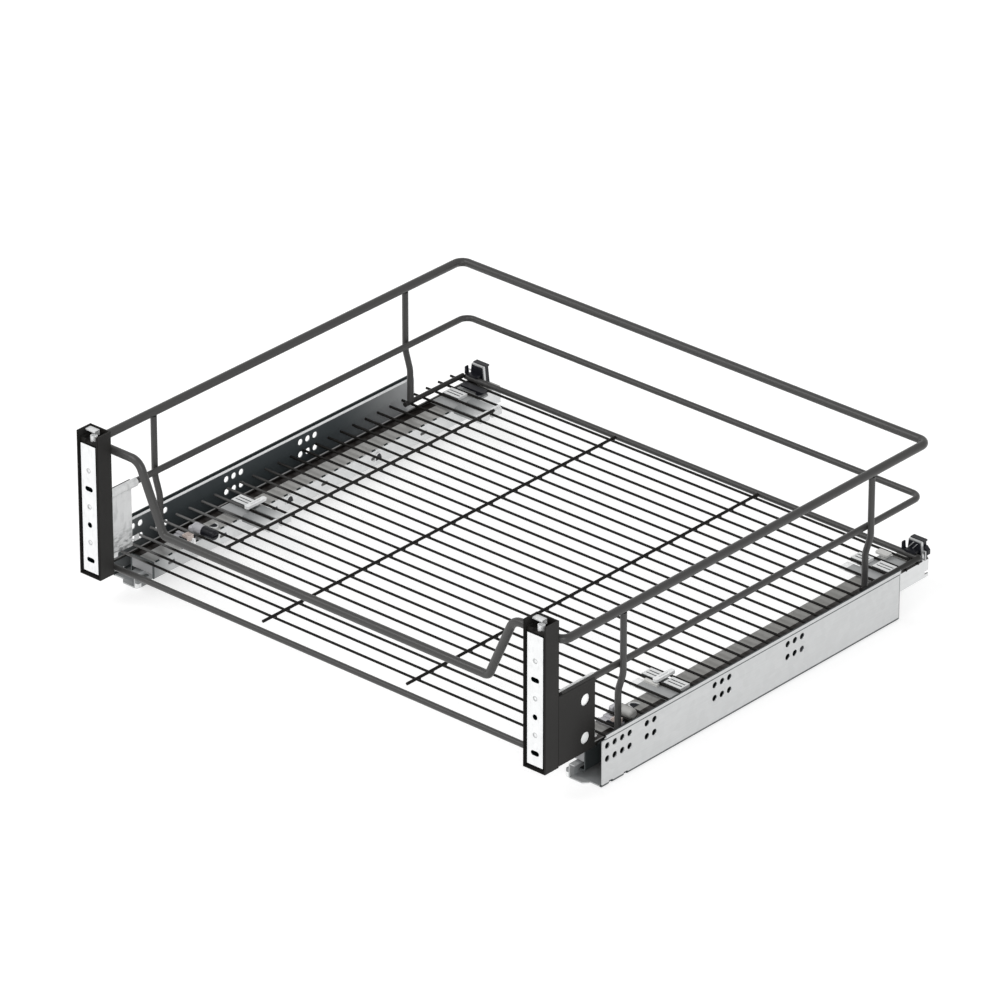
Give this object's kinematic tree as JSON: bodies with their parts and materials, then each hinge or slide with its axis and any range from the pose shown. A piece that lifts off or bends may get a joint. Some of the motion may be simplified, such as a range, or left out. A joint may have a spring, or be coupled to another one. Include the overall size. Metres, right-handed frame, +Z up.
{
  "type": "pull-out drawer",
  "caption": "Wire pull-out drawer with a dipped front rail and front panel brackets, on concealed full-extension slides with soft-close dampers for a kitchen cabinet.",
  "frame": {"origin": "middle of the unit's footprint, at the slides' underside, with the drawer shut", "axes": "+X to the right seen from the front, +Y into the cabinet, +Z up"},
  "size_m": [0.568, 0.5116, 0.1683],
  "materials": {
    "wire_coating": "satin anthracite powder coat",
    "zinc_sheet": "zinc-plated sheet, satin",
    "bright_zinc": "bright zinc, satin",
    "bracket_coating": "satin black powder coat",
    "white_plastic": "moulded",
    "pale_plastic": "moulded",
    "grey_plastic": "moulded",
    "black_plastic": "moulded",
    "trigger_plastic": "moulded",
    "roller_steel": "ground steel"
  },
  "bodies": {
    "cabinet_side": {"cabinet_profile_left": "zinc_sheet", "front_guide_left": "white_plastic", "damper_housing_left": "grey_plastic", "cabinet_profile_right": "zinc_sheet", "front_guide_right": "white_plastic", "damper_housing_right": "grey_plastic"},
    "drawer": {"top_rail": "wire_coating", "front_rail": "wire_coating", "mid_rail": "wire_coating", "corner_posts": "wire_coating", "floor_cross_wires": "wire_coating", "floor_mid_wires": "wire_coating", "floor_clip_rod": "wire_coating", "side_carrier_wires": "wire_coating", "rear_side_wires": "wire_coating", "back_low_wire": "wire_coating", "front_low_wire": "wire_coating", "drawer_profile_left": "zinc_sheet", "hook_frame_left": "zinc_sheet", "fixing_strip_left": "bright_zinc", "hanger_plate_left": "bright_zinc", "top_clamp_left": "bracket_coating", "bracket_left": "bracket_coating", "front_clip_left": "pale_plastic", "rear_clip_left": "pale_plastic", "front_coupling_left": "grey_plastic", "rear_hook_left": "black_plastic", "adjusting_screw_left": "bright_zinc", "drawer_profile_right": "zinc_sheet", "hook_frame_right": "zinc_sheet", "fixing_strip_right": "bright_zinc", "hanger_plate_right": "bright_zinc", "top_clamp_right": "bracket_coating", "bracket_right": "bracket_coating", "front_clip_right": "pale_plastic", "rear_clip_right": "pale_plastic", "front_coupling_right": "grey_plastic", "rear_hook_right": "black_plastic", "adjusting_screw_right": "bright_zinc"},
    "middle_left": {"middle_profile_left": "zinc_sheet"},
    "lower_runner_left": {"lower_cage_left": "pale_plastic", "lower_rollers_left": "roller_steel"},
    "upper_runner_left": {"upper_cage_left": "pale_plastic", "upper_rollers_left": "roller_steel"},
    "buffer_left": {"damper_buffer_left": "black_plastic"},
    "trigger_left": {"release_trigger_left": "trigger_plastic"},
    "wheel_left": {"height_wheel_left": "black_plastic"},
    "front_turn_left": {"front_lock_left": "white_plastic"},
    "rear_turn_left": {"rear_lock_left": "black_plastic"},
    "middle_right": {"middle_profile_right": "zinc_sheet"},
    "lower_runner_right": {"lower_cage_right": "pale_plastic", "lower_rollers_right": "roller_steel"},
    "upper_runner_right": {"upper_cage_right": "pale_plastic", "upper_rollers_right": "roller_steel"},
    "buffer_right": {"damper_buffer_right": "black_plastic"},
    "trigger_right": {"release_trigger_right": "trigger_plastic"},
    "wheel_right": {"height_wheel_right": "black_plastic"},
    "front_turn_right": {"front_lock_right": "white_plastic"},
    "rear_turn_right": {"rear_lock_right": "pale_plastic"}
  },
  "joints": [
    {"name": "drawer_travel", "type": "slide", "parent": "cabinet_side", "child": "drawer", "axis": [0, -1, 0], "range_m": [0, 0.45]},
    {"name": "middle_travel_left", "type": "slide", "parent": "cabinet_side", "child": "middle_left", "axis": [0, -1, 0], "range_m": [0, 0.225]},
    {"name": "lower_runner_travel_left", "type": "slide", "parent": "cabinet_side", "child": "lower_runner_left", "axis": [0, -1, 0], "range_m": [0, 0.1125]},
    {"name": "upper_runner_travel_left", "type": "slide", "parent": "cabinet_side", "child": "upper_runner_left", "axis": [0, -1, 0], "range_m": [0, 0.3375]},
    {"name": "buffer_travel_left", "type": "slide", "parent": "cabinet_side", "child": "buffer_left", "axis": [0, -1, 0], "range_m": [0, 0.04]},
    {"name": "trigger_press_left", "type": "slide", "parent": "drawer", "child": "trigger_left", "axis": [-1, 0, 0], "range_m": [0, 0.004], "stiffness_N_per_m": 300},
    {"name": "wheel_turn_left", "type": "hinge", "parent": "drawer", "child": "wheel_left", "pos_m": [-0.2365, -0.13318, 0.03279], "axis": [1, 0, 0], "range_deg": [-180, 180]},
    {"name": "front_lock_turn_left", "type": "hinge", "parent": "drawer", "child": "front_turn_left", "pos_m": [-0.236, -0.0677, 0.0344], "axis": [0, 0, 1], "range_deg": [0, 90]},
    {"name": "rear_lock_turn_left", "type": "hinge", "parent": "drawer", "child": "rear_turn_left", "pos_m": [-0.236, 0.22697, 0.0344], "axis": [0, 0, 1], "range_deg": [0, 90]},
    {"name": "middle_travel_right", "type": "slide", "parent": "cabinet_side", "child": "middle_right", "axis": [0, -1, 0], "range_m": [0, 0.225]},
    {"name": "lower_runner_travel_right", "type": "slide", "parent": "cabinet_side", "child": "lower_runner_right", "axis": [0, -1, 0], "range_m": [0, 0.1125]},
    {"name": "upper_runner_travel_right", "type": "slide", "parent": "cabinet_side", "child": "upper_runner_right", "axis": [0, -1, 0], "range_m": [0, 0.3375]},
    {"name": "buffer_travel_right", "type": "slide", "parent": "cabinet_side", "child": "buffer_right", "axis": [0, -1, 0], "range_m": [0, 0.04]},
    {"name": "trigger_press_right", "type": "slide", "parent": "drawer", "child": "trigger_right", "axis": [-1, 0, 0], "range_m": [0, 0.004], "stiffness_N_per_m": 300},
    {"name": "wheel_turn_right", "type": "hinge", "parent": "drawer", "child": "wheel_right", "pos_m": [0.2445, -0.13318, 0.03279], "axis": [1, 0, 0], "range_deg": [-180, 180]},
    {"name": "front_lock_turn_right", "type": "hinge", "parent": "drawer", "child": "front_turn_right", "pos_m": [0.236, -0.0677, 0.0344], "axis": [0, 0, 1], "range_deg": [0, 90]},
    {"name": "rear_lock_turn_right", "type": "hinge", "parent": "drawer", "child": "rear_turn_right", "pos_m": [0.236, 0.22697, 0.0344], "axis": [0, 0, 1], "range_deg": [0, 90]}
  ],
  "couplings": [
    {"joint": "middle_travel_left", "follows": "drawer_travel", "ratio": 0.5},
    {"joint": "lower_runner_travel_left", "follows": "drawer_travel", "ratio": 0.25},
    {"joint": "upper_runner_travel_left", "follows": "drawer_travel", "ratio": 0.75},
    {"joint": "buffer_travel_left", "follows": "drawer_travel", "ratio": 0.0888},
    {"joint": "middle_travel_right", "follows": "drawer_travel", "ratio": 0.5},
    {"joint": "lower_runner_travel_right", "follows": "drawer_travel", "ratio": 0.25},
    {"joint": "upper_runner_travel_right", "follows": "drawer_travel", "ratio": 0.75},
    {"joint": "buffer_travel_right", "follows": "drawer_travel", "ratio": 0.0888}
  ]
}
